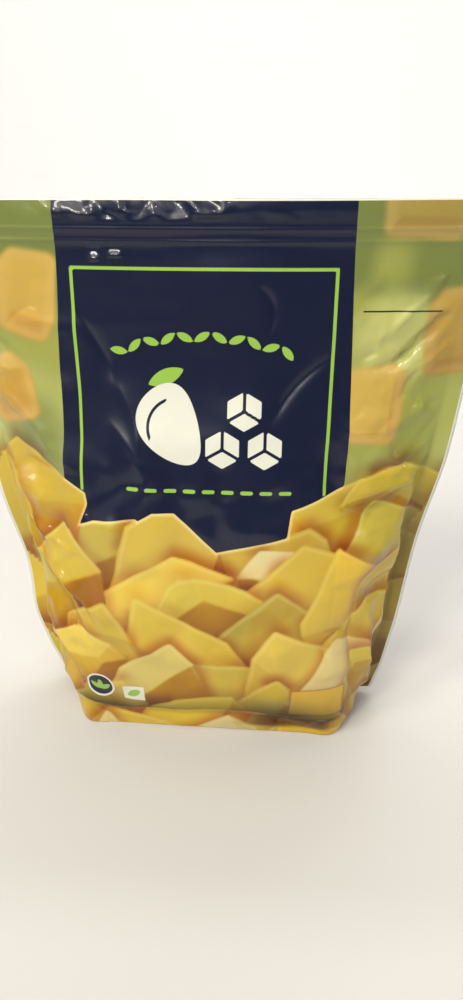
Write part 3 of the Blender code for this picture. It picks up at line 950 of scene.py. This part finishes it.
INKS = (("navy", (0.004, 0.0075, 0.031)), ("lime", (0.3, 0.52, 0.075)), ("white", (0.76, 0.77, 0.66)))
INK_EDGE = 0.00014  # half the width over which an ink's edge fades
GRAIN_SCALE, GRAIN_BUMP, GRAIN_DEPTH = 140.0, 0.05, 0.0004
ROUGHNESS = (0.28, 0.38)
FILM_FINISH = {"Specular IOR Level": 0.35, "Coat Weight": 0.32, "Coat Roughness": 0.05}


def new_node(tree, kind, inputs, **settings):
    """A shader node with some settings, and with inputs that are values or sockets to link."""
    node = tree.nodes.new("ShaderNode" + kind)
    for name, value in settings.items():
        setattr(node, name, value)
    for name, value in inputs.items():
        if isinstance(value, bpy.types.NodeSocket):
            tree.links.new(value, node.inputs[name])
        else:
            node.inputs[name].default_value = value
    return node


def new_material(name, finish):
    """A material, its node tree and its shader, with the finish on the shader's own inputs."""
    material = bpy.data.materials.new(name)
    material.use_nodes = True
    shader = material.node_tree.nodes["Principled BSDF"]
    for socket, value in finish.items():
        shader.inputs[socket].default_value = value
    return material, material.node_tree, shader


def film_material():
    """Glossy printed film: the painted print, with painted shade in it, under flat inks, which have crisp
    edges.
    """
    material, tree, shader = new_material("printed_film", FILM_FINISH)
    colour = new_node(tree, "Attribute", {}, attribute_name="print").outputs["Color"]
    for name, ink in INKS:
        edge = new_node(tree, "Attribute", {}, attribute_name=name).outputs["Fac"]
        fade = {"From Min": -INK_EDGE, "From Max": INK_EDGE, "Value": edge}
        cover = new_node(tree, "MapRange", fade, interpolation_type="SMOOTHSTEP").outputs["Result"]
        layers = {"Factor": cover, "A": colour, "B": (*ink, 1.0)}
        colour = new_node(tree, "Mix", layers, data_type="RGBA").outputs["Result"]
    tree.links.new(colour, shader.inputs["Base Color"])
    where = new_node(tree, "TexCoord", {}).outputs["Object"]
    grain = new_node(tree, "TexNoise", {"Scale": GRAIN_SCALE, "Detail": 2.0, "Vector": where}).outputs["Fac"]
    rough = new_node(tree, "MapRange", {"To Min": ROUGHNESS[0], "To Max": ROUGHNESS[1], "Value": grain})
    tree.links.new(rough.outputs["Result"], shader.inputs["Roughness"])
    bump = new_node(tree, "Bump", {"Strength": GRAIN_BUMP, "Distance": GRAIN_DEPTH, "Height": grain})
    tree.links.new(bump.outputs["Normal"], shader.inputs["Normal"])
    return material


# ---- the pieces


def grid_mesh(name, points, flip, layers):
    """A mesh of a grid of points, with a value for each point in each named layer."""
    rows, columns = points.shape[:2]
    index = np.arange(rows * columns).reshape(rows, columns)
    a, b, c, d = index[:-1, :-1], index[:-1, 1:], index[1:, 1:], index[1:, :-1]
    quads = np.stack([d, c, b, a] if flip else [a, b, c, d], axis=-1).reshape(-1, 4)
    mesh = bpy.data.meshes.new(name)
    mesh.from_pydata(points.reshape(-1, 3), [], quads)
    mesh.shade_smooth()
    for layer, values in layers.items():
        kind, field = "FLOAT", "value"
        if values.ndim == 2:
            kind, field, values = "FLOAT_COLOR", "color", np.column_stack([values, np.ones(len(values))])
        mesh.attributes.new(layer, kind, "POINT").data.foreach_set(field, values.reshape(-1))
    return add_object(name, mesh)


def wrapped(points, places):
    """A panel's grid with the cut edge along its sides and top, where it turns back to the other film."""
    points, places = (np.pad(grid, ((0, 1), (1, 1), (0, 0)), mode="edge") for grid in (points, places))
    for line in (points[:, 0], points[:, -1], points[-1]):
        line[:, 1] += FILM_GAP
    return points, places


def made_panel(depths, folds, seed, side, row_bands):
    """One panel with its relief, and each point's place on the flat film."""
    points, places = panel(depths, side, row_bands)
    points = press_in_relief(points, places, folds, seed, side)
    return settle(points, places), places


GUSSET_SHARES = np.array([0, 0.03, 0.08, 0.15, 0.24, 0.34, 0.45, 0.55, 0.66, 0.76, 0.85, 0.92, 0.97, 1.0])
GROOVE_SHARES, GROOVE_LIFTS = (0, 0.05, 0.14, 0.26, 0.42), (0, 0.77, 1, 0.35, 0)
GROOVE, CORNER_LIFT = 0.0026, 0.009


def underside(front, back):
    """The gusset's film from the front rim to the back one: a groove inside each rim, and raised corners."""
    from_rim = np.minimum(GUSSET_SHARES, 1 - GUSSET_SHARES)
    groove = GROOVE * np.interp(from_rim, GROOVE_SHARES, GROOVE_LIFTS)
    strip = front[None] + (back - front)[None] * GUSSET_SHARES[:, None, None]
    apart = np.clip(np.abs(back[:, 1] - front[:, 1]) / 0.02, 0, 1)
    corner = ramp(np.abs(front[:, 0]), 0.05, 0.068)[None]
    tent = CORNER_LIFT * corner * (1 - np.abs(2 * GUSSET_SHARES - 1) ** 2)[:, None]
    strip[..., 2] += (groove[:, None] + tent) * apart[None]
    return strip


def dress():
    """The pouch's three pieces of film, in place of the plain solid."""
    film = film_material()
    front, front_places = made_panel(FRONT_DEPTH, FRONT_FOLDS, 11, -1, FRONT_ROWS)
    back, back_places = made_panel(BACK_DEPTH, BACK_FOLDS, 29, 1, BACK_ROWS)
    gusset = underside(front[0], back[0])
    front, front_places = wrapped(front, front_places)
    # the print layer also carries painted shade
    names = ("print", "navy", "lime", "white")
    count = gusset[..., 0].size
    off = np.full(count, -1.0)
    plain = (np.tile(linear(GUSSET), (count, 1)), off, off, off)
    pieces = [
        grid_mesh("film_front", front, False, dict(zip(names, paint_print_and_shade(front_places, 110, True)))),
        grid_mesh("film_back", back, True, dict(zip(names, paint_print_and_shade(back_places * [-1, 1], 211, False)))),
        grid_mesh("film_gusset", gusset, True, dict(zip(names, plain))),
    ]
    for piece in pieces:
        piece.data.materials.append(film)
        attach(piece, "root")
        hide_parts("pouch")


dress()

# ---- the studio

bpy.context.scene.view_settings.view_transform = "Standard"

FLOOR_FRONT, FLOOR_BACK, COVE_RADIUS, COVE_HEIGHT, FLOOR_HALF = -2.5, 1.2, 0.8, 3.0, 6.0
FLOOR_DROP = 0.0002  # keeps the floor clear of the film
FLOOR_FINISH = {"Base Color": (0.62, 0.61, 0.59, 1.0), "Roughness": 0.65}
SKY_COLOUR, SKY_STRENGTH = (0.8, 0.82, 0.86, 1.0), 0.22
SKY_FOR_RAYS = (("Is Glossy Ray", 0.13), ("Is Camera Ray", 0.17))
WARM, WHITE, COOL = (1.0, 0.95, 0.88), (1.0, 0.98, 0.95), (0.96, 0.97, 1.0)
# name, place, what it faces, size, watts and colour
LIGHTS = (
    ("key", (-0.4, -0.7, 1.1), (0.0, 0.0, 0.1), (0.24, 0.24), 7.0, (1.0, 0.93, 0.8)),
    ("back", (0.45, 0.95, 1.2), (0.0, 0.0, 0.1), (0.6, 0.6), 3.6, (1.0, 0.97, 0.92)),
    ("top", (-0.3, -0.22, 1.2), (0.0, 0.0, 0.12), (0.14, 0.14), 3.0, WARM),
    ("fill", (0.4, -0.95, 1.1), (0.0, 0.0, 0.1), (0.7, 0.7), 2.2, COOL),
    ("backdrop", (0.0, 0.7, 1.6), (0.0, 1.8, 0.6), (4.0, 0.6), 60.0, WHITE),
)
# place, size and watts of the small lamps that give the film its highlights
LAMPS = (
    ((-0.95, -0.85, 0.45), 0.05, 0.45),
    ((0.55, -0.9, 0.75), 0.05, 0.45),
    ((0.05, -0.8, 1.3), 0.05, 0.45),
    ((-0.367, -0.99, 0.83), 0.13, 3.4),
    ((-0.68, -0.58, 0.91), 0.15, 1.1),
    ((0.95, -0.05, 0.45), 0.05, 0.4),
)
LAMP_AIM = (0.0, 0.0, 0.15)


def add_floor():
    """A plain pale floor that curves up into a backdrop."""
    bend = np.linspace(0, math.pi / 2, 24)
    cove = zip(FLOOR_BACK + COVE_RADIUS * np.sin(bend), COVE_RADIUS - COVE_RADIUS * np.cos(bend))
    profile = [(FLOOR_FRONT, 0.0), *cove, (FLOOR_BACK + COVE_RADIUS, COVE_HEIGHT)]
    corners = [(x, y, z - FLOOR_DROP) for y, z in profile for x in (-FLOOR_HALF, FLOOR_HALF)]
    mesh = bpy.data.meshes.new("floor")
    mesh.from_pydata(corners, [], [(2 * k, 2 * k + 1, 2 * k + 3, 2 * k + 2) for k in range(len(profile) - 1)])
    mesh.shade_smooth()
    mesh.materials.append(new_material("pale_floor", FLOOR_FINISH)[0])
    floor = add_object("floor", mesh)


def add_sky():
    """An even dim light from all round, dimmer where it is mirrored or seen."""
    world = bpy.data.worlds.new("studio")
    bpy.context.scene.world = world
    world.use_nodes = True
    tree = world.node_tree
    background = tree.nodes["Background"]
    background.inputs["Color"].default_value = SKY_COLOUR
    rays = new_node(tree, "LightPath", {})
    strength = SKY_STRENGTH
    for kind, value in SKY_FOR_RAYS:
        levels = {"Factor": rays.outputs[kind], "A": strength, "B": value}
        strength = new_node(tree, "Mix", levels).outputs["Result"]
    tree.links.new(strength, background.inputs["Strength"])


def add_area(name, place, aim, size, watts, colour):
    """A rectangular area light that faces its aim."""
    data = bpy.data.lights.new(name, "AREA")
    data.shape = "RECTANGLE"
    data.size, data.size_y = size
    data.energy = watts
    data.color = colour
    light = add_object(name, data)
    away = Vector(place) - Vector(aim)
    light.matrix_world = Matrix.Translation(place) @ away.to_track_quat("Z", "Y").to_matrix().to_4x4()


add_floor()
add_sky()
for values in LIGHTS:
    add_area(*values)
for number, (place, size, watts) in enumerate(LAMPS, start=1):
    add_area(f"lamp_{number}", place, LAMP_AIM, (size, size), watts, WARM)
